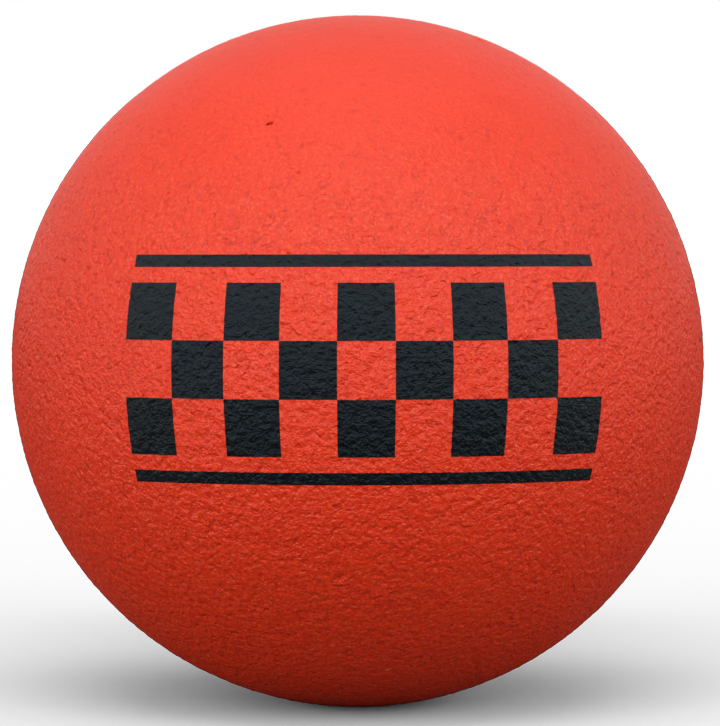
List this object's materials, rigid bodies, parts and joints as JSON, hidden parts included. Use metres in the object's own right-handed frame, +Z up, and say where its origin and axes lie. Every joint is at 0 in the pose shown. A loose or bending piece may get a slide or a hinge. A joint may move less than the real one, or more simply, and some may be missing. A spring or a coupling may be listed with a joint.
{
  "type": "coated foam ball",
  "caption": "Round play ball with a solid soft foam core inside a closed, grained polyurethane skin with a breather pinhole.",
  "frame": {"origin": "centre of the ball", "axes": "+Z up through the crown, -Z down through the middle of the resting flat, -Y out of the front"},
  "size_m": [0.2, 0.2, 0.1995],
  "materials": {
    "foam": "matte",
    "skin": "satin",
    "print": "satin"
  },
  "bodies": {
    "root": {"foam_core": "foam", "skin": "skin"}
  },
  "joints": []
}
